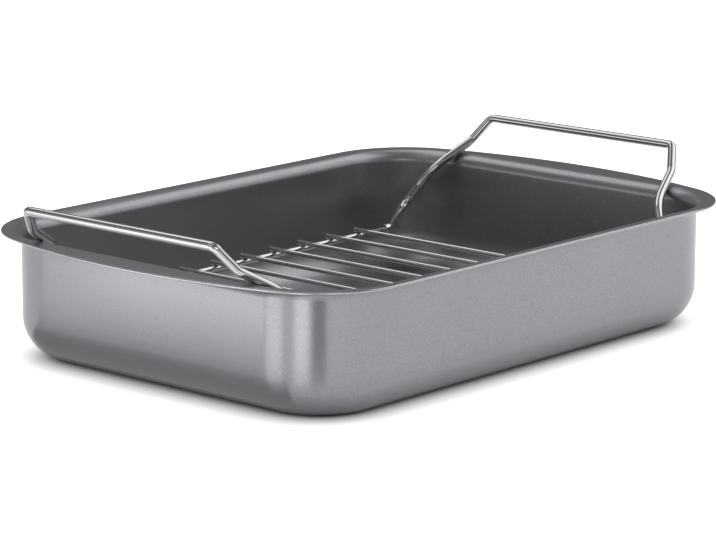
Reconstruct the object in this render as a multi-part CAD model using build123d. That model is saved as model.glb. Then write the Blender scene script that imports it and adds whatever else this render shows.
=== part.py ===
from build123d import *
import math
import os

# Roasting pan with a lift-out wire rack, in millimetres.
# Origin: centre of the pan's base, on the surface that it stands on.
# +X runs along the pan towards one of its two rack handles, +Y across it, +Z up.

# Drawn pan, outside sizes of its walls
wall_length = 363.6
wall_width = 264.0
wall_corner_radius = 48.7
base_edge_radius = 24.6
rim_height = 75.8
sheet_thickness = 1.5

# Rim flange, wide at the bowed ends and narrow along the straight sides
end_overhang = 23.2
side_overhang = 10.3
rim_corner_radius = 57.1
rim_end_radius = 361.3
shoulder_radius = 8.0
rim_edge_round = 0.5

# Wire rack, hung below the rim
rack_drop = 36.4
rail_diameter = 4.0
rail_length = 201.0
rail_spacing = 147.8
bar_count = 7
bar_diameter = 3.0
bar_end_gap = 23.4
bar_overhang = 4.3
bar_end_chamfer = 0.4
weld_sink = 0.3

# Handle wire, one bent piece at each end of the rack
handle_diameter = 5.5
grip_length = 144.8
grip_inset = 0.8
grip_rise = 21.5
seat_clearance = 0.3
seat_slope = 29.0
seat_to_kink = 12.0
kink_spread = 160.0
seat_to_shoulder_bend = 21.3
shoulder_bend_spread = 179.4
foot_gap = 23.8
foot_spread = 215.2
stub_length = 5.0

# Bend radii of the handle wire, on its centre line
grip_bend_radius = 4.5
kink_bend_radius = 9.0
shoulder_bend_radius = 36.0
foot_bend_radius = 10.0
stub_bend_radius = 6.0

# Sizes that follow from the ones above
inner_length = wall_length - 2 * sheet_thickness
inner_width = wall_width - 2 * sheet_thickness
inner_corner_radius = wall_corner_radius - sheet_thickness
inner_base_radius = base_edge_radius - sheet_thickness
rim_length = wall_length + 2 * end_overhang
rim_width = wall_width + 2 * side_overhang
rail_height = rim_height - rack_drop
rail_radius = rail_diameter / 2
bar_radius = bar_diameter / 2
bar_height = rail_height + rail_radius + bar_radius - weld_sink
bar_length = rail_spacing + 2 * bar_overhang
bar_pitch = (rail_length - 2 * bar_end_gap) / (bar_count - 1)
handle_radius = handle_diameter / 2
foot_height = rail_height - rail_radius + handle_radius


def rim_outline():
    """Face of the rim: bowed ends, round corners and straight sides, all tangent."""
    end_centre_x = rim_length / 2 - rim_end_radius
    corner_centre_y = rim_width / 2 - rim_corner_radius
    centre_distance = rim_end_radius - rim_corner_radius
    corner_centre_x = end_centre_x + math.sqrt(centre_distance**2 - corner_centre_y**2)
    half_bow = math.degrees(math.asin(corner_centre_y / centre_distance))

    corner_sweep = 90 - half_bow
    bow = CenterArc((end_centre_x, 0), rim_end_radius, -half_bow, 2 * half_bow)
    upper_corner = CenterArc(
        (corner_centre_x, corner_centre_y), rim_corner_radius, half_bow, corner_sweep
    )
    lower_corner = mirror(upper_corner, Plane.XZ)
    right_end = [lower_corner, bow, upper_corner]
    left_end = [mirror(edge, Plane.YZ) for edge in right_end]
    sides = [
        Line((-corner_centre_x, y), (corner_centre_x, y))
        for y in (-rim_width / 2, rim_width / 2)
    ]
    return make_face(right_end + left_end + sides)


def rounded_tub(length, width, corner_radius, edge_radius, base_z):
    """Solid with round corners and a round lower edge, from base_z up to the rim."""
    outline = Pos(0, 0, base_z) * RectangleRounded(length, width, corner_radius)
    tub = extrude(outline, rim_height - base_z)
    return fillet(tub.faces().sort_by(Axis.Z)[0].edges(), edge_radius)


def make_pan():
    """Pan drawn from one sheet: floor, upright walls, round shoulder and flat rim."""
    outside = rounded_tub(wall_length, wall_width, wall_corner_radius, base_edge_radius, 0)
    under_rim = rim_height - sheet_thickness
    rim_plate = extrude(Pos(0, 0, under_rim) * rim_outline(), sheet_thickness)
    body = outside + rim_plate

    # The rim springs from the wall with the sheet bent to one even thickness.
    under_face = body.faces().filter_by_position(Axis.Z, under_rim, under_rim)[0]
    body = fillet(under_face.inner_wires()[0].edges(), shoulder_radius - sheet_thickness)

    hollow = rounded_tub(
        inner_length, inner_width, inner_corner_radius, inner_base_radius, sheet_thickness
    )
    body -= hollow
    top_face = body.faces().sort_by(Axis.Z)[-1]
    body = fillet(top_face.inner_wires()[0].edges(), shoulder_radius)

    rim_face = body.faces().sort_by(Axis.Z)[-1]
    return fillet(rim_face.outer_wire().edges(), rim_edge_round)


def make_rail(side):
    """Straight side rail of the rack; side is 1 for left (+Y) or -1 for right."""
    start = Plane(
        origin=(-rail_length / 2, side * rail_spacing / 2, rail_height), z_dir=(1, 0, 0)
    )
    return extrude(start * Circle(rail_radius), rail_length)


def bar_position(index):
    """X of one crossbar, counted from 0 at the -X end of the rack."""
    return (index - (bar_count - 1) / 2) * bar_pitch


def make_crossbar(index, rails):
    """Crossbar with chamfered ends, seated in its two rails as resistance welding leaves it."""
    start = Plane(
        origin=(bar_position(index), -bar_length / 2, bar_height), z_dir=(0, 1, 0)
    )
    bar = extrude(start * Circle(bar_radius), bar_length)
    end_edges = bar.edges().filter_by(GeomType.CIRCLE)
    bar = chamfer(end_edges, bar_end_chamfer)
    return bar - rails


def handle_points():
    """Corners of half the handle wire, from its end at the rail to its grip, at +X and +Y."""
    slope = math.radians(seat_slope)
    inward_x = -math.cos(slope)
    inward_z = -math.sin(slope)
    # The arm bears on the pan's round inner shoulder at right angles to its own slope.
    shoulder_x = inner_length / 2 + shoulder_radius
    shoulder_z = rim_height - shoulder_radius
    bearing = shoulder_radius + handle_radius + seat_clearance
    seat_x = shoulder_x + inward_z * bearing
    seat_z = shoulder_z - inward_x * bearing

    stub_end = (rail_length / 2, rail_spacing / 2, foot_height)
    stub_corner = (rail_length / 2 + stub_length, rail_spacing / 2, foot_height)
    foot = (inner_length / 2 - foot_gap, foot_spread / 2, foot_height)
    shoulder_bend = (
        seat_x + inward_x * seat_to_shoulder_bend,
        shoulder_bend_spread / 2,
        seat_z + inward_z * seat_to_shoulder_bend,
    )
    kink = (
        seat_x - inward_x * seat_to_kink,
        kink_spread / 2,
        seat_z - inward_z * seat_to_kink,
    )
    grip_end = (rim_length / 2 - grip_inset, grip_length / 2, rim_height + grip_rise)
    return [stub_end, stub_corner, foot, shoulder_bend, kink, grip_end]


def make_handle(end):
    """Bent handle wire at one end of the rack; end is 1 for +X or -1 for -X."""
    left_half = [(end * x, y, z) for x, y, z in handle_points()]
    right_half = [(x, -y, z) for x, y, z in reversed(left_half)]
    left_radii = [
        stub_bend_radius,
        foot_bend_radius,
        shoulder_bend_radius,
        kink_bend_radius,
        grip_bend_radius,
    ]
    route = FilletPolyline(
        *(left_half + right_half), radius=left_radii + left_radii[::-1]
    )
    section = Plane(origin=left_half[0], z_dir=route % 0) * Circle(handle_radius)
    return sweep(section, path=route)


def build_parts():
    """Every separate piece of the pan and its rack, by node name."""
    parts = {"pan": make_pan()}
    parts["rail_left"] = make_rail(1)
    parts["rail_right"] = make_rail(-1)
    rails = [parts["rail_left"], parts["rail_right"]]
    for index in range(bar_count):
        parts[f"crossbar_{index + 1}"] = make_crossbar(index, rails)
    parts["handle_near"] = make_handle(-1)
    parts["handle_far"] = make_handle(1)
    return parts


os.makedirs("parts", exist_ok=True)
for node, solid in build_parts().items():
    solid.label = node
    export_step(solid, f"parts/{node}.step")
    print(node, round(solid.volume), "mm3")
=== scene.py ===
# %% [markdown]
# # Roasting pan with a lift-out wire rack
#
# This lesson dresses a imported CAD model. The pan is pressed from one sheet of aluminium and
# sprayed with two coats: a satin pewter coat outside and a darker non-stick coat inside. On the
# cut edge of the rim the pewter coat is drawn paler, a painted highlight for the pale line that
# the edge shines with. The rack is welded from bright plated wire. Every shape is worked out
# with numpy from the same sizes as the CAD model, so that it has smooth highlights and still
# fits the frame.

import math

import bpy
import numpy as np
from mathutils import Matrix, Vector


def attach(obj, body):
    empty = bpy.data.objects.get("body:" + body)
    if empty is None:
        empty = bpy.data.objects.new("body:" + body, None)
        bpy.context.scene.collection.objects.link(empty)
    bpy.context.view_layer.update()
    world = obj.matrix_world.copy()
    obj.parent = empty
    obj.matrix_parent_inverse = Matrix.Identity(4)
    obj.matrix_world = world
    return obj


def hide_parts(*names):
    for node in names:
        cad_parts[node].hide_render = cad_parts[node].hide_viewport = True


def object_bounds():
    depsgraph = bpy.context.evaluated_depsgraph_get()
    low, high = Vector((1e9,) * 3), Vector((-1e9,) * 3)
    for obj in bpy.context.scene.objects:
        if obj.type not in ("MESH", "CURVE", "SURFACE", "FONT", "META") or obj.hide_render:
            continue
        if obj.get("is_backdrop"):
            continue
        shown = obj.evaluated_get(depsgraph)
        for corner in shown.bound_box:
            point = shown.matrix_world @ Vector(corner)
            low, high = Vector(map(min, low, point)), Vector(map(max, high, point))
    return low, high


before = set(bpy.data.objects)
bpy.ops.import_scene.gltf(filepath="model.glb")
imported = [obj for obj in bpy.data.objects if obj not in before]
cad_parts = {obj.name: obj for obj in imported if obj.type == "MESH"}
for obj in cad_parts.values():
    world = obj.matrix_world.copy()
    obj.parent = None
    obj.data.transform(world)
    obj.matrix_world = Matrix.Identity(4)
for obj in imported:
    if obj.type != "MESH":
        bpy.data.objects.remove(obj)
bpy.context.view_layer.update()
MM = 0.001

# %% [markdown]
# ## Colour, node and object helpers
#
# A colour given here is an sRGB value, while a shader works in linear light. One function
# turns the usual hex value into a linear colour. A second one adds a node, sets its sockets
# and makes its links, which keeps each material short. A third puts an object in the scene.


# %% Colour, node and object helpers
def linear(hex_colour):
    """sRGB hex to linear RGBA: c / 12.92 below 0.04045, else ((c + 0.055) / 1.055) ** 2.4."""
    c = np.array([int(hex_colour[i:i + 2], 16) / 255 for i in (1, 3, 5)])
    lin = np.where(c <= 0.04045, c / 12.92, ((c + 0.055) / 1.055) ** 2.4)
    return (*lin.tolist(), 1.0)


def add_node(tree, kind, settings=None, **inputs):
    """One shader node: settings are its own properties, inputs its sockets by name, or by
    number after an n. A socket given as input gets a link, any other value is set."""
    node = tree.nodes.new(kind)
    for name, value in (settings or {}).items():
        setattr(node, name, value)
    for name, value in inputs.items():
        by_number = name[0] == "n" and name[1:].isdigit()
        socket = node.inputs[int(name[1:]) if by_number else name.replace("_", " ")]
        if isinstance(value, bpy.types.NodeSocket):
            tree.links.new(value, socket)
        else:
            socket.default_value = value
    return node


def new_material(name):
    """An empty node material with its output node, and the tree that holds it."""
    material = bpy.data.materials.new(name)
    material.use_nodes = True
    material.node_tree.nodes.clear()
    out = add_node(material.node_tree, "ShaderNodeOutputMaterial")
    return material, material.node_tree, out


def add_object(name, data):
    """An object at the origin with the mesh, lamp or camera given, linked to the scene."""
    added = bpy.data.objects.new(name, data)
    bpy.context.scene.collection.objects.link(added)
    return added


print("mid grey #808080 in linear light:", round(linear("#808080")[0], 3))

# %% [markdown]
# ## The pan's own coats
#
# Outside, the pan wears a silicone bakeware coat with aluminium pigment, sprayed and baked.
# Its flakes lie nearly flat, so it mirrors the studio softly. Inside is a reinforced non-stick
# coat, sprayed darker and a little rougher, whose pearl pigment gives a weak metal sheen. On
# the cut edge of the rim the outside coat is drawn paler: a painted highlight, which stands
# for the pale line the edge shines with.
#
# A picture could be wrapped round the pan, but noise read from Object coordinates needs no
# seams. The real flakes are about 0.03 mm wide, too fine to show, so their grain is drawn
# 0.8 to 0.9 mm wide. A cloud some 35 mm wide lies over it, as a spray gun leaves it.

# %% Sprayed coats
grain_detail, grain_roughness = 3.0, 0.6
cloud_size, cloud_detail, cloud_roughness, cloud_share = 35 * MM, 2.0, 0.5, 0.15
darkest_noise, lightest_noise = 0.4, 0.75


def sprayed_coat(name, dark, light, metallic, roughness, grain_size, grain_depth):
    """A baked spray coat. Shade = grain + cloud_share * cloud, which picks a colour between
    dark and light. The grain also raises the surface by up to grain_depth."""
    material, tree, out = new_material(name)
    place = add_node(tree, "ShaderNodeTexCoord").outputs["Object"]
    grain = add_node(tree, "ShaderNodeTexNoise", Vector=place, Scale=1 / grain_size,
                     Detail=grain_detail, Roughness=grain_roughness)
    cloud = add_node(tree, "ShaderNodeTexNoise", Vector=place, Scale=1 / cloud_size,
                     Detail=cloud_detail, Roughness=cloud_roughness)
    both = add_node(tree, "ShaderNodeMath", {"operation": "MULTIPLY_ADD"},
                    n0=cloud.outputs["Fac"], n1=cloud_share, n2=grain.outputs["Fac"])
    shade = add_node(tree, "ShaderNodeMapRange", n0=both.outputs[0], n1=darkest_noise,
                     n2=lightest_noise)
    colour = add_node(tree, "ShaderNodeMix", {"data_type": "RGBA"}, n0=shade.outputs[0],
                      n6=linear(dark), n7=linear(light))
    peel = add_node(tree, "ShaderNodeBump", Height=grain.outputs["Fac"], Strength=1.0,
                    Distance=grain_depth)
    shader = add_node(tree, "ShaderNodeBsdfPrincipled", Base_Color=colour.outputs[2],
                      Metallic=metallic, Roughness=roughness, IOR=1.5, Normal=peel.outputs[0])
    tree.links.new(shader.outputs[0], out.inputs[0])
    return material


# Aluminium flakes near the surface: metallic and smooth, a soft mirror with a fine grain.
outside_coat = sprayed_coat("silicone_pewter_coat_sprayed_and_baked", "#96959a", "#a5a4a9",
                            metallic=0.9, roughness=0.22, grain_size=0.9 * MM,
                            grain_depth=0.002 * MM)
# Pearl pigment in a thicker coat: rougher, so that it mirrors the room as a blur.
inside_coat = sprayed_coat("nonstick_coat_sprayed_and_baked", "#949498", "#a9a9ad",
                           metallic=0.85, roughness=0.34, grain_size=0.8 * MM,
                           grain_depth=0.004 * MM)
# The same flakes drawn paler on the rim's cut edge: a painted highlight, the light line along
# the rim.
edge_painted_highlight_coat = sprayed_coat("pewter_coat_drawn_paler_as_painted_rim_highlight", "#b4b3b8", "#c2c1c6",
                         metallic=0.9, roughness=0.22, grain_size=0.9 * MM,
                         grain_depth=0.002 * MM)
print("coats", outside_coat.name, inside_coat.name, edge_painted_highlight_coat.name)

# %% [markdown]
# ## The wire's plating
#
# The rack is drawn steel wire, welded first and then nickel and chrome plated. The plating is
# almost a mirror, so the wire's look comes from what stands round it. A plain metal shader
# would do, but real plating has a faint haze in patches some 6 mm long, where the polish
# differs, and the highlights along the wire are uneven because of it.

# %% Bright plated wire
haze_size, haze_detail = 6 * MM, 3.0
least_haze, most_haze = 0.06, 0.13


def plated_wire():
    """Chrome plate: a metal whose roughness goes from least_haze to most_haze with noise."""
    material, tree, out = new_material("chrome_plated_drawn_wire")
    place = add_node(tree, "ShaderNodeTexCoord").outputs["Object"]
    haze = add_node(tree, "ShaderNodeTexNoise", Vector=place, Scale=1 / haze_size,
                    Detail=haze_detail)
    rough = add_node(tree, "ShaderNodeMapRange", n0=haze.outputs["Fac"], n3=least_haze,
                     n4=most_haze)
    shader = add_node(tree, "ShaderNodeBsdfPrincipled", Base_Color=linear("#c8c8ca"),
                      Metallic=1.0, Roughness=rough.outputs[0])
    tree.links.new(shader.outputs[0], out.inputs[0])
    return material


wire_finish = plated_wire()
print("wire finish", wire_finish.name)

# %% [markdown]
# ## Grids of points
#
# Every new surface is a grid: one parameter runs round a loop and the other along it. A grid
# is stored as an array with three numbers for each point, and its faces follow from the
# row and column numbers, with no loop over the points.


# %% From a grid of points to a piece
def grid_faces(rows, columns):
    """Quads of a grid that closes on itself along its columns. Point (r, c) is r * columns + c,
    and each face joins it to its neighbours (r, c + 1), (r + 1, c + 1) and (r + 1, c)."""
    r, c = np.meshgrid(np.arange(rows - 1), np.arange(columns), indexing="ij")
    after = (c + 1) % columns
    corners = [r * columns + c, r * columns + after, (r + 1) * columns + after,
               (r + 1) * columns + c]
    return np.stack(corners, axis=-1).reshape(-1, 4)


def make_piece(name, grid, body, node, materials, face_material=None):
    """A closed piece from a grid of rings whose first and last ring are capped with one face
    each. grid has the shape rows, columns, 3 and is in millimetres."""
    rows, columns, _ = grid.shape
    quads = grid_faces(rows, columns)
    count = len(quads)
    caps = [np.arange(columns)[::-1], (rows - 1) * columns + np.arange(columns)]
    corners = np.concatenate([quads.ravel(), *caps])
    starts = np.concatenate([np.arange(count) * 4, [count * 4, count * 4 + columns]])

    mesh = bpy.data.meshes.new(name)
    mesh.vertices.add(rows * columns)
    mesh.vertices.foreach_set("co", (grid * MM).astype(np.float32).ravel())
    mesh.loops.add(len(corners))
    mesh.loops.foreach_set("vertex_index", corners.astype(np.int32))
    mesh.polygons.add(count + 2)
    mesh.polygons.foreach_set("loop_start", starts.astype(np.int32))
    if face_material is not None:
        mesh.polygons.foreach_set("material_index", face_material.astype(np.int32))
    mesh.update(calc_edges=True)
    mesh.polygons.foreach_set("use_smooth", np.ones(count + 2, bool))
    mesh.validate()
    for material in materials:
        mesh.materials.append(material)

    piece = add_object(name, mesh)
    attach(piece, body)
    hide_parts(node)
    return piece


print("a 3 by 4 grid has", len(grid_faces(3, 4)), "faces")

# %% [markdown]
# ## The pan
#
# A drawn pan is one sheet that goes down one side and comes up the other. It could be a box
# with bevels, but then the highlights would break at every joint of two bevels. Its plan is a
# rectangle with round corners, and each height of the wall is that plan moved in or out along
# its own normal, so the whole pan is one grid: the first parameter goes round the plan, the
# second along a section through the sheet. Only the flange needs more: its outer edge is
# another curve, bowed at both ends, so each ray along the normal is followed until it meets
# that curve.

# %% Sizes of the pan, in millimetres
wall_length, wall_width, wall_corner = 363.6, 264.0, 48.7
base_radius, rim_height, sheet = 24.6, 75.8, 1.5
rim_length, rim_width, rim_corner, rim_end = 410.0, 284.6, 57.1, 361.3
shoulder, edge_round, lower_round = 8.0, 0.7, 0.4

# %% Plan of the wall
end_points, corner_points, side_points = 28, 40, 30


def wall_plan():
    """Points and outward normals of a rectangle with round corners, anticlockwise from the
    middle of the +X end. A quarter is worked out: the end is a straight line at x = a, the
    corner is centre + radius * (cos t, sin t), the side is a straight line at y = b."""
    a, b = wall_length / 2, wall_width / 2
    cx, cy = a - wall_corner, b - wall_corner
    end_y = np.linspace(0, cy, end_points, endpoint=False)
    t = np.linspace(0, math.pi / 2, corner_points, endpoint=False)
    side_x = np.linspace(cx, 0, side_points + 1)
    quarter = np.concatenate([
        np.stack([np.full(end_points, a), end_y], 1),
        np.stack([cx + wall_corner * np.cos(t), cy + wall_corner * np.sin(t)], 1),
        np.stack([side_x, np.full(side_points + 1, b)], 1),
    ])
    quarter_n = np.concatenate([
        np.tile([1.0, 0.0], (end_points, 1)),
        np.stack([np.cos(t), np.sin(t)], 1),
        np.tile([0.0, 1.0], (side_points + 1, 1)),
    ])
    flip_x, flip_y = np.array([-1.0, 1.0]), np.array([1.0, -1.0])
    half = np.concatenate([quarter, quarter[-2::-1] * flip_x])
    half_n = np.concatenate([quarter_n, quarter_n[-2::-1] * flip_x])
    loop = np.concatenate([half, half[-2:0:-1] * flip_y])
    loop_n = np.concatenate([half_n, half_n[-2:0:-1] * flip_y])
    return loop, loop_n


plan, plan_normal = wall_plan()
print("points round the plan:", len(plan))

# %% Reach of the flange
first_reach, reach_rounds = 10.0, 40


def rim_distance(point):
    """Signed distance outside the rim's outline, negative inside. In the first quarter the
    outline is the bow, a circle about (bow_x, 0), then a corner circle, then the straight side.
    Each holds in its own sector, and they meet where both have the same normal."""
    bow_x = rim_length / 2 - rim_end
    corner_y = rim_width / 2 - rim_corner
    corner_x = bow_x + math.sqrt((rim_end - rim_corner) ** 2 - corner_y ** 2)
    x, y = np.abs(point[:, 0]), np.abs(point[:, 1])
    to_bow = np.hypot(x - bow_x, y) - rim_end
    to_corner = np.hypot(x - corner_x, y - corner_y) - rim_corner
    to_side = y - rim_width / 2
    in_bow = y * (corner_x - bow_x) < (x - bow_x) * corner_y
    return np.where(x < corner_x, to_side, np.where(in_bow, to_bow, to_corner))


def flange_reach(points, normals):
    """Distance from the wall to the rim's edge along each normal, by repeated correction: the
    distance still missing is added until nothing is missing."""
    reach = np.full(len(points), first_reach)
    for _ in range(reach_rounds):
        reach -= rim_distance(points + normals * reach[:, None])
    return reach


reach = flange_reach(plan, plan_normal)
print("flange reaches %.1f to %.1f mm past the wall" % (reach.min(), reach.max()))

# %% Section through the sheet
base_steps, wall_steps, shoulder_steps, bend_steps = 19, 6, 17, 15
top_round_steps, low_round_steps, floor_steps = 6, 4, 8
smallest_share = 0.02


def arc(centre_o, centre_z, radius, start_deg, end_deg, count):
    """Points of an arc as (offset, height), offset = centre + radius * cos t and
    height = centre + radius * sin t."""
    t = np.radians(np.linspace(start_deg, end_deg, count))
    return np.stack([centre_o + radius * np.cos(t), centre_z + radius * np.sin(t)], 1)


def upright(offset, start_z, end_z):
    """Points of an upright line as (offset, height), without its two ends."""
    heights = np.linspace(start_z, end_z, wall_steps + 2)[1:-1]
    return np.stack([np.full(wall_steps, offset), heights], 1)


def pan_section():
    """The sheet's outline as rows of (share, offset, height, of the edge). The offset is from
    the wall's outer face along its normal. Where share is below 1 the ring is drawn in towards
    the middle of the floor by that factor. of the edge is 1 where the offset is counted from
    the rim's edge, 0 where it is counted from the wall."""
    low, high, bend = base_radius, rim_height - shoulder, shoulder - sheet
    inside = np.concatenate([
        arc(-low, low, low - sheet, -90, 0, base_steps),
        upright(-sheet, low, high),
        arc(bend, high, shoulder, 180, 90, shoulder_steps),
    ])
    edge = np.concatenate([
        arc(-edge_round, rim_height - edge_round, edge_round, 90, 0, top_round_steps),
        arc(-lower_round, rim_height - sheet + lower_round, lower_round, 0, -90,
            low_round_steps),
    ])
    outside = np.concatenate([
        arc(bend, high, bend, 90, 180, bend_steps),
        upright(0.0, high, low),
        arc(-low, low, low, 0, -90, base_steps),
    ])
    floor_share = np.linspace(smallest_share, 1, floor_steps + 1)[:-1]

    rows = [[share, -low, sheet, 0] for share in floor_share]
    rows += [[1, o, z, 0] for o, z in inside]
    inside_rows = len(rows)
    rows += [[1, o, z, 1] for o, z in edge]
    rows += [[1, o, z, 0] for o, z in outside]
    rows += [[share, -low, 0, 0] for share in floor_share[::-1]]
    return np.array(rows, float), inside_rows


section, inside_rows = pan_section()
print("points along the section:", len(section), "of them inside:", inside_rows)


# %% The pan as one grid
def pan_grid():
    """Point (row, column) = wall point * share + normal * offset, at the row's height. Rows of
    the edge count their offset from where the flange ends on that ray."""
    share, offset, height, at_edge = (section[:, [i]] for i in range(4))
    out = offset + at_edge * reach[None, :]
    flat = (plan[None] + plan_normal[None] * out[..., None]) * share[..., None]
    z = np.broadcast_to(height[..., None], flat.shape[:2] + (1,))
    return np.concatenate([flat, z], axis=2)


pan_points = pan_grid()
rows, columns, _ = pan_points.shape
row_of_face = np.repeat(np.arange(rows - 1), columns)
# The inside coat ends on the edge's upper round. Below it, down under the lower round, the cut
# edge gets the paler coat that paints the highlight line along the rim.
edge_start = inside_rows + 2
edge_end = inside_rows + top_round_steps + low_round_steps - 1
painted_highlight_rows = (row_of_face >= edge_start) & (row_of_face < edge_end)
coat_of_face = np.where(painted_highlight_rows, 2, np.where(row_of_face < edge_start, 0, 1))
coat_of_face = np.concatenate([coat_of_face, [0, 1]])
pan = make_piece("pan_shell", pan_points, "pan", "pan",
                 [inside_coat, outside_coat, edge_painted_highlight_coat], coat_of_face)
print("pan faces", len(pan.data.polygons))

# %% [markdown]
# ## The wires
#
# A bent wire is a circle carried along a path of straight runs and round bends. A curve with
# a bevel could do it, but its rings don't land just where a bend begins, and a mirror finish
# shows that. So the path is sampled as points with their directions. The circle must not twist
# as it goes, so its first axis is turned along with the path by the least turn from each
# direction to the next.


# %% Path of a bent wire
def unit(vector):
    """A vector divided by its own length."""
    return vector / np.linalg.norm(vector)


def bent_path(corners, radii, step_deg=3, lead=0.4):
    """Points and directions along straight runs joined by tangent arcs. At a corner that turns
    by an angle, the arc starts radius * tan(angle / 2) before it, and each of its points is
    centre + radius * (cos, sin) in the plane of the two runs. One more point on the straight
    just before and after each arc keeps the mirror image straight up to the bend."""
    corners = np.asarray(corners, float)
    points, directions = [corners[0]], [unit(corners[1] - corners[0])]
    for before, corner, after, radius in zip(corners, corners[1:], corners[2:], radii):
        a, b = unit(corner - before), unit(after - corner)
        turn = math.acos(np.clip(a @ b, -1, 1))
        start = corner - a * radius * math.tan(turn / 2)
        side = unit(b - a * (a @ b))
        steps = max(2, math.ceil(math.degrees(turn) / step_deg))
        t = np.linspace(0, turn, steps + 1)[:, None]
        bend = start + radius * (a * np.sin(t) + side * (1 - np.cos(t)))
        points += [start - a * lead, bend, bend[-1] + b * lead]
        directions += [a, a * np.cos(t) + side * np.sin(t), b]
    points.append(corners[-1])
    directions.append(unit(corners[-1] - corners[-2]))
    return np.vstack(points), np.vstack(directions)


square_path, square_directions = bent_path([(0, 0, 0), (10, 0, 0), (10, 10, 0)], [4])
print("a wire with one square bend has", len(square_path), "path points")


# %% Wire as a grid
def wire_grid(points, directions, radius, end_round, around=28):
    """Rings of a wire: point = path + radius * (u cos t + v sin t). u starts square to the
    first direction, and is carried along by taking off its part along each new direction.
    Two smaller rings round off each end. t starts half a step on, which keeps the rings just
    inside the wire's own height and width."""
    u = np.empty_like(directions)
    first = np.array([0.0, 0.0, 1.0]) if abs(directions[0][2]) < 0.9 else np.array([1.0, 0, 0])
    for i, d in enumerate(directions):
        first = unit(first - d * (first @ d))
        u[i] = first
    v = np.cross(directions, u)

    rounding = end_round * np.array([1.0, 0.3, 0.0])
    middle = np.zeros(len(points) - 2)
    order = np.concatenate([[0, 0], np.arange(len(points)), [-1, -1]])
    size = radius - np.concatenate([rounding, middle, rounding[::-1]])
    inset = end_round * np.array([0.0, 0.3, 1.0])
    shift = np.concatenate([inset, middle, -inset[::-1]])
    centre = points[order] + directions[order] * shift[:, None]
    t = 2 * math.pi * (np.arange(around) + 0.5) / around
    circle = (u[order][:, None] * np.cos(t)[None, :, None]
              + v[order][:, None] * np.sin(t)[None, :, None])
    return centre[:, None] + circle * size[:, None, None]


square_wire = wire_grid(square_path, square_directions, 1.0, 0.1)
print("rings of that wire:", len(square_wire))

# %% [markdown]
# ## The rack
#
# Two side rails carry seven crossbars, which are pressed into them a little where they were
# welded. A thicker wire at each end is bent up over the pan's shoulder and closes in a grip.
# The rack hangs in the pan by these two wires. Each wire is a piece of its own, as it was
# before it was welded, so that each can be named, hidden or swapped by itself.

# %% Sizes of the rack, in millimetres
rack_drop, rail_radius, rail_length, rail_spacing = 36.4, 2.0, 201.0, 147.8
bar_count, bar_radius, bar_pitch, bar_overhang, weld_sink = 7, 1.5, 25.7, 4.3, 0.3
handle_radius, grip_length, grip_inset, grip_rise = 2.75, 144.8, 0.8, 21.5
seat_clearance, seat_slope, seat_to_kink, kink_spread = 0.3, 29.0, 12.0, 160.0
seat_to_bend, bend_spread, foot_gap, foot_spread, stub = 21.3, 179.4, 23.8, 215.2, 5.0
bend_radii = [6.0, 10.0, 36.0, 9.0, 4.5]
joined_end_round, free_end_round = 0.1, 0.4

rail_height = rim_height - rack_drop
bar_height = rail_height + rail_radius + bar_radius - weld_sink
foot_height = rail_height - rail_radius + handle_radius
print("rails at %.1f mm, crossbars at %.1f mm above the base" % (rail_height, bar_height))


# %% Rails and crossbars
def straight_wire(name, node, start, end, radius, end_round, rings=9):
    """A straight wire: rings at equal steps of start * (1 - share) + end * share."""
    start, end = np.array(start, float), np.array(end, float)
    share = np.linspace(0, 1, rings)[:, None]
    directions = np.tile(unit(end - start), (rings, 1))
    grid = wire_grid(start * (1 - share) + end * share, directions, radius, end_round)
    return make_piece(name, grid, "rack", node, [wire_finish])


for side, y in (("left", rail_spacing / 2), ("right", -rail_spacing / 2)):
    straight_wire(f"rail_wire_{side}", f"rail_{side}", (-rail_length / 2, y, rail_height),
                  (rail_length / 2, y, rail_height), rail_radius, joined_end_round)

bar_reach = rail_spacing / 2 + bar_overhang
for index in range(bar_count):
    x = (index - (bar_count - 1) / 2) * bar_pitch
    straight_wire(f"crossbar_wire_{index + 1}", f"crossbar_{index + 1}",
                  (x, -bar_reach, bar_height), (x, bar_reach, bar_height), bar_radius,
                  free_end_round)
print("rails 2, crossbars", bar_count)


# %% Bent handle wires
def handle_corners():
    """Corners of half a handle wire at +X, +Y, from its end at the rail to its grip. The arm
    touches the pan's round shoulder where its own slope is square to the shoulder's radius."""
    slope = math.radians(seat_slope)
    in_x, in_z = -math.cos(slope), -math.sin(slope)
    inner = wall_length / 2 - sheet
    bearing = shoulder + handle_radius + seat_clearance
    seat_x = inner + shoulder + in_z * bearing
    seat_z = rim_height - shoulder - in_x * bearing
    return [
        (rail_length / 2, rail_spacing / 2, foot_height),
        (rail_length / 2 + stub, rail_spacing / 2, foot_height),
        (inner - foot_gap, foot_spread / 2, foot_height),
        (seat_x + in_x * seat_to_bend, bend_spread / 2, seat_z + in_z * seat_to_bend),
        (seat_x - in_x * seat_to_kink, kink_spread / 2, seat_z - in_z * seat_to_kink),
        (rim_length / 2 - grip_inset, grip_length / 2, rim_height + grip_rise),
    ]


half = np.array(handle_corners())
whole = np.vstack([half, half[::-1] * [1, -1, 1]])
for name, end in (("far", 1), ("near", -1)):
    path, directions = bent_path(whole * [end, 1, 1], bend_radii + bend_radii[::-1])
    grid = wire_grid(path, directions, handle_radius, joined_end_round, around=40)
    handle = make_piece(f"handle_wire_{name}", grid, "rack", f"handle_{name}",
                        [wire_finish])
    print(handle.name, "faces", len(handle.data.polygons))

# %% [markdown]
# ## The paper floor
#
# The pan stands on white paper. Lit strongly enough to come out pure white, the paper would
# throw too much light on the pan. So it also glows, but only for the camera and in mirror
# images. Ambient Occlusion tells how close the object stands above a point of the paper, and
# the glow fades there, which leaves the soft dark seam round the base.

# %% Floor
FLOOR_SIZE = 6.0
camera_glow, full_glow = 2.1, 0.5
seam_width, closed_in, open_sky = 0.022, 0.08, 0.95


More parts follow.
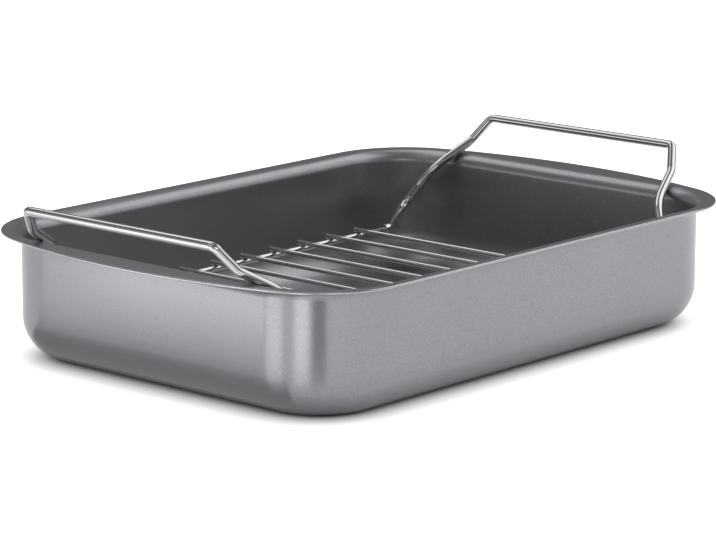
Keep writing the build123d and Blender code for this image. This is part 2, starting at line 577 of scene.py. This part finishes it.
def floor_paint():
    """Matt white paper plus a glow of (camera_glow for the camera, 1 in mirror images) times
    a level that rises from 0 to full_glow as the sky over the point opens."""
    material, tree, out = new_material("matt_white_paper_sweep")
    rays = add_node(tree, "ShaderNodeLightPath")
    paper = add_node(tree, "ShaderNodeBsdfDiffuse", Color=linear("#efefef"))
    closeness = add_node(tree, "ShaderNodeAmbientOcclusion", {"samples": 16},
                         Distance=seam_width)
    level = add_node(tree, "ShaderNodeMapRange", n0=closeness.outputs["AO"], n1=closed_in,
                     n2=open_sky, n3=0.0, n4=full_glow)
    mirrored = add_node(tree, "ShaderNodeMath", {"operation": "ADD"},
                        n0=rays.outputs["Is Glossy Ray"],
                        n1=rays.outputs["Is Transmission Ray"])
    all_rays = add_node(tree, "ShaderNodeMath", {"operation": "MULTIPLY_ADD"},
                        n0=rays.outputs["Is Camera Ray"], n1=camera_glow,
                        n2=mirrored.outputs[0])
    seen = add_node(tree, "ShaderNodeMath", {"operation": "MULTIPLY"},
                    n0=all_rays.outputs[0], n1=level.outputs[0])
    glow = add_node(tree, "ShaderNodeEmission", Strength=seen.outputs[0])
    both = add_node(tree, "ShaderNodeAddShader", n0=paper.outputs[0], n1=glow.outputs[0])
    tree.links.new(both.outputs[0], out.inputs[0])
    return material


floor_mesh = bpy.data.meshes.new("floor")
h = FLOOR_SIZE / 2
floor_mesh.from_pydata([(-h, -h, 0), (h, -h, 0), (h, h, 0), (-h, h, 0)], [], [(0, 1, 2, 3)])
floor_mesh.materials.append(floor_paint())
floor = add_object("floor", floor_mesh)
floor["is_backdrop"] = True
print("floor", FLOOR_SIZE, "m wide")

# %% [markdown]
# ## The room and its softboxes
#
# Bright metal is photographed under a frame of softboxes with a gap above the object. Polished
# wire shows what is round it: each softbox gives one white line along a wire, and the dark
# room between them gives the dark lines. So mirror images see a dark room here, while the
# camera sees white past the paper's end. An evenly white world would be simpler, but it would
# take the dark lines off the wires and fill the dark coat inside the pan with light.

# %% World
room_strength, white_strength = 0.185, 1.0
world = bpy.data.worlds.new("studio")
bpy.context.scene.world = world
world.use_nodes = True
tree = world.node_tree
tree.nodes.clear()
world_out = add_node(tree, "ShaderNodeOutputWorld")
rays = add_node(tree, "ShaderNodeLightPath")
white_colour = linear("#ffffff")
room = add_node(tree, "ShaderNodeBackground", Color=white_colour, Strength=room_strength)
white = add_node(tree, "ShaderNodeBackground", Color=white_colour, Strength=white_strength)
pick = add_node(tree, "ShaderNodeMixShader", n0=rays.outputs["Is Camera Ray"],
                n1=room.outputs[0], n2=white.outputs[0])
tree.links.new(pick.outputs[0], world_out.inputs[0])
print("the room's light is", room_strength, "of white")


# %% Softboxes
def softbox(name, place, aim, width, height, brightness):
    """A flat lamp at place that faces along aim. Brightness is that of its face, where 1 is
    the white of the picture; the power of an even face is pi * area * brightness."""
    data = bpy.data.lights.new(name, "AREA")
    data.shape, data.size, data.size_y = "RECTANGLE", width, height
    data.energy = math.pi * width * height * brightness
    lamp = add_object(name, data)
    lamp.location = place
    lamp.rotation_euler = Vector(aim).to_track_quat("-Z", "Y").to_euler()
    lamp.visible_camera = False
    return lamp


DOWN = (0, 0, -1)
overhead = [
    # name, place, width, height, brightness
    ("overhead_right", (1.0, -0.4, 0.9), 0.8, 1.2, 1.42),
    ("overhead_back", (0.2, 0.6, 0.9), 0.8, 0.8, 1.15),
    ("overhead_left", (-0.6, 0.2, 0.9), 0.8, 0.8, 0.35),
    ("overhead_front", (0.4, -0.6, 0.9), 0.4, 0.8, 1.15),
]
for name, place, width, height, brightness in overhead:
    softbox(name, place, DOWN, width, height, brightness)
print("overhead softboxes", len(overhead))

# %% Standing softboxes
standing_distance = 1.45
standing = [
    # name, azimuth in degrees, lower and upper edge, width, brightness
    ("low_left", 151, 0.0, 0.3, 1.9, 1.5),
    ("low_front", 202, 0.0, 0.3, 0.65, 0.24),
    ("side_right", 315, 0.3, 0.88, 1.4, 0.74),
]
for name, azimuth_deg, low, high, width, brightness in standing:
    t = math.radians(azimuth_deg)
    x, y = math.cos(t), math.sin(t)
    place = (standing_distance * x, standing_distance * y, (low + high) / 2)
    softbox(name, place, (-x, -y, 0), width, high - low, brightness)
print("standing softboxes", len(standing))

# %% Small softboxes low over the paper
low_over = [
    # name, place, width, height, brightness
    ("low_over_left", (-0.8, 0.2, 0.35), 0.5, 0.9, 0.34),
    ("low_over_right", (0.3, -0.75, 0.35), 0.9, 0.5, 0.22),
    ("low_over_front", (-0.5, -0.55, 0.35), 0.4, 0.4, 1.98),
]
for name, place, width, height, brightness in low_over:
    softbox(name, place, DOWN, width, height, brightness)

# %% [markdown]
# ## Panels on the paper
#
# The pan's upright walls mirror the paper in front of them, so that their shading is a picture
# of that paper. A photographer lays white and black card there. Lamps lying on the floor would
# do it too, but they would also light the pan from below. These panels show in mirror images
# only: they light nothing, throw no shadow, and the camera doesn't see them. Each one fades
# in, so that no hard line shows on the wall.


# %% Panels on the paper
def floor_panel(name, corners, brightness, fades_in=(0.0, 0.3), fades_across=(-1.0, 0.0),
                height=0.0005):
    """A thin panel in metres. Share runs from 0 at its first two corners, on the near side, to
    1 at the other two, and across from 0 at its first and last corner to 1 at the other two.
    Its cover is the product of two ramps, from the first to the second share of fades_in and
    of fades_across. Before the first, the paper shows. (-1, 0) covers all."""
    mesh = bpy.data.meshes.new(name)
    mesh.from_pydata([(x, y, height) for x, y in corners], [], [(0, 1, 2, 3)])
    mesh.attributes.new("share", "FLOAT", "POINT").data.foreach_set("value", [0, 0, 1, 1])
    mesh.attributes.new("across", "FLOAT", "POINT").data.foreach_set("value", [0, 1, 1, 0])
    material, tree, out = new_material(name + "_face")
    ramps = []
    for attribute, (start, stop) in (("share", fades_in), ("across", fades_across)):
        value = add_node(tree, "ShaderNodeAttribute", {"attribute_name": attribute})
        ramps.append(add_node(tree, "ShaderNodeMapRange", n0=value.outputs["Fac"], n1=start,
                              n2=stop))
    cover = add_node(tree, "ShaderNodeMath", {"operation": "MULTIPLY"},
                     n0=ramps[0].outputs[0], n1=ramps[1].outputs[0])
    face = add_node(tree, "ShaderNodeEmission", Strength=brightness)
    clear = add_node(tree, "ShaderNodeBsdfTransparent")
    both = add_node(tree, "ShaderNodeMixShader", n0=cover.outputs[0], n1=clear.outputs[0],
                    n2=face.outputs[0])
    tree.links.new(both.outputs[0], out.inputs[0])
    mesh.materials.append(material)
    panel = add_object(name, mesh)
    panel.visible_camera = panel.visible_diffuse = panel.visible_shadow = False
    panel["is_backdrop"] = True
    return panel


# %% Wedges that show as stripes on the near corner
wedge_near, wedge_far = 0.03, 0.6
image_depth = 0.45


def corner_wedge(normal_deg, start_deg, stop_deg):
    """Corners of a panel that shows in the near corner as an upright stripe. The corner is a
    mirror cylinder: rays that leave it seem to come from about half its radius behind the
    point whose normal has the given azimuth, so the panel is a wedge that opens from there."""
    t, ray = math.radians(normal_deg), math.radians((start_deg + stop_deg) / 2)
    corner = np.array([-(wall_length / 2 - wall_corner), -(wall_width / 2 - wall_corner)])
    tip = (corner + wall_corner * np.array([math.cos(t), math.sin(t)])
           - image_depth * wall_corner * np.array([math.cos(ray), math.sin(ray)])) * MM
    sides = np.radians([start_deg, stop_deg])
    directions = np.stack([np.cos(sides), np.sin(sides)], 1)
    return [*(tip + wedge_near * directions), *(tip + wedge_far * directions[::-1])]


stripes = [
    # name, azimuth of the normal, first and last azimuth of the wedge, brightness
    ("bright_panel_corner_left", 193, 150, 173, 1.75),
    ("bright_panel_corner_front", 208, 191, 210, 2.0),
    ("black_panel_corner", 221, 213, 231, 0.42),
]
for name, normal_deg, start_deg, stop_deg, brightness in stripes:
    floor_panel(name, corner_wedge(normal_deg, start_deg, stop_deg), brightness)
print("corner stripes", len(stripes))

# %% Panels that shade the short wall
# The bright one makes the wall lighter upwards and towards the corner, the grey one darkens
# its round lower edge.
floor_panel("bright_panel_left", [(-0.26, 0.3), (-0.26, 0.0), (-0.6, 0.15), (-0.6, 0.6)], 2.1,
            fades_in=(0.06, 0.5), fades_across=(0.18, 0.44))
floor_panel("grey_panel_left",
            [(-0.171, 0.13), (-0.171, -0.1), (-0.29, -0.1), (-0.29, 0.24)], 0.4,
            fades_in=(1.0, 0.2), height=0.0003)

# %% [markdown]
# ## The camera
#
# The photograph was taken from far off with a long lens, which keeps the upright edges almost
# parallel. Placing such a camera by eye takes many tries. Here the outlines of the rim, the
# walls and the base were matched to the photograph's, which gave the viewing direction, the
# distance, the small roll and the focal length in pixels.

# %% Camera
frame_width_px, focal_px, sensor_mm = 716, 3362.2, 36.0
aim_height, distance, shift_right, shift_up = 0.035, 1.99453, -0.00489, 0.005552
view_back = Vector((-0.7306, -0.6481, 0.2149)).normalized()
view_right = Vector((0.6636, -0.7481, 0.0)).normalized()
view_up = view_back.cross(view_right)
roll = math.radians(0.097)
right = view_right * math.cos(roll) + view_up * math.sin(roll)
up = view_up * math.cos(roll) - view_right * math.sin(roll)

camera_data = bpy.data.cameras.new("camera")
camera_data.sensor_width = sensor_mm
camera_data.lens = focal_px / frame_width_px * sensor_mm
camera_data.clip_start, camera_data.clip_end = 0.05, 50
camera = add_object("camera", camera_data)
place = (Vector((0, 0, aim_height)) + view_back * distance + view_right * shift_right
         + view_up * shift_up)
axes = Matrix((right, up, view_back)).transposed().to_4x4()
camera.matrix_world = Matrix.Translation(place) @ axes
bpy.context.scene.camera = camera
bpy.context.scene.view_settings.view_transform = "Standard"
print("lens %.1f mm" % camera_data.lens)

# %% [markdown]
#
# The dressed pan has to fill the same box as the CAD model and not pass it anywhere, or it
# wouldn't fit where the model does. Its own box is measured and printed below.

# %% Size of the dressed pan
low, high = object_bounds()
print("visual box in mm", [round(v / MM, 2) for v in (*low, *high)])
